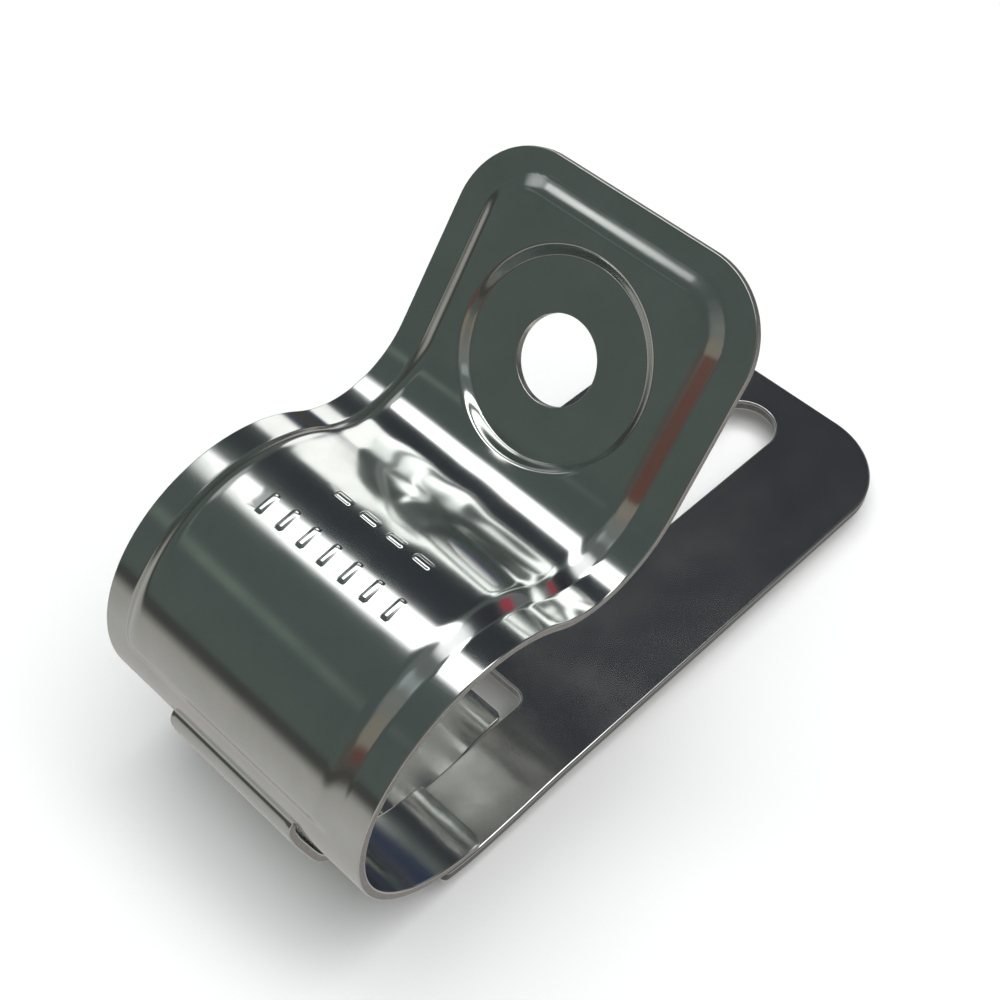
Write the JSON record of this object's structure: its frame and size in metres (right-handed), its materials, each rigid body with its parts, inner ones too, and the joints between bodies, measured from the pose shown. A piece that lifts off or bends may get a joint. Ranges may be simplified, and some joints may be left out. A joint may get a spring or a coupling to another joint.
{
  "type": "pipe clamp",
  "caption": "Open single-bolt pipe clamp of bright stainless sheet: an embossed saddle strap with a bolt flange, hooked to a flat slotted base plate.",
  "frame": {"origin": "on the axis of the clamped pipe, half way along the clamp's width", "axes": "+Y along the pipe axis, +X along the base plate away from the saddle, +Z from the base plate towards the saddle"},
  "size_m": [0.0942, 0.0376, 0.0576],
  "materials": {
    "strap_steel": "bright annealed stainless sheet, stamped, mirror-like",
    "plate_steel": "bright annealed stainless sheet, faintly grained"
  },
  "bodies": {
    "plate": {"base_plate": "plate_steel"},
    "strap": {"saddle_strap": "strap_steel"}
  },
  "joints": [
    {"name": "hook_hinge", "type": "hinge", "parent": "plate", "child": "strap", "pos_m": [-0.00498, 0, -0.01631], "axis": [0, -1, 0], "range_deg": [0, 20]}
  ]
}
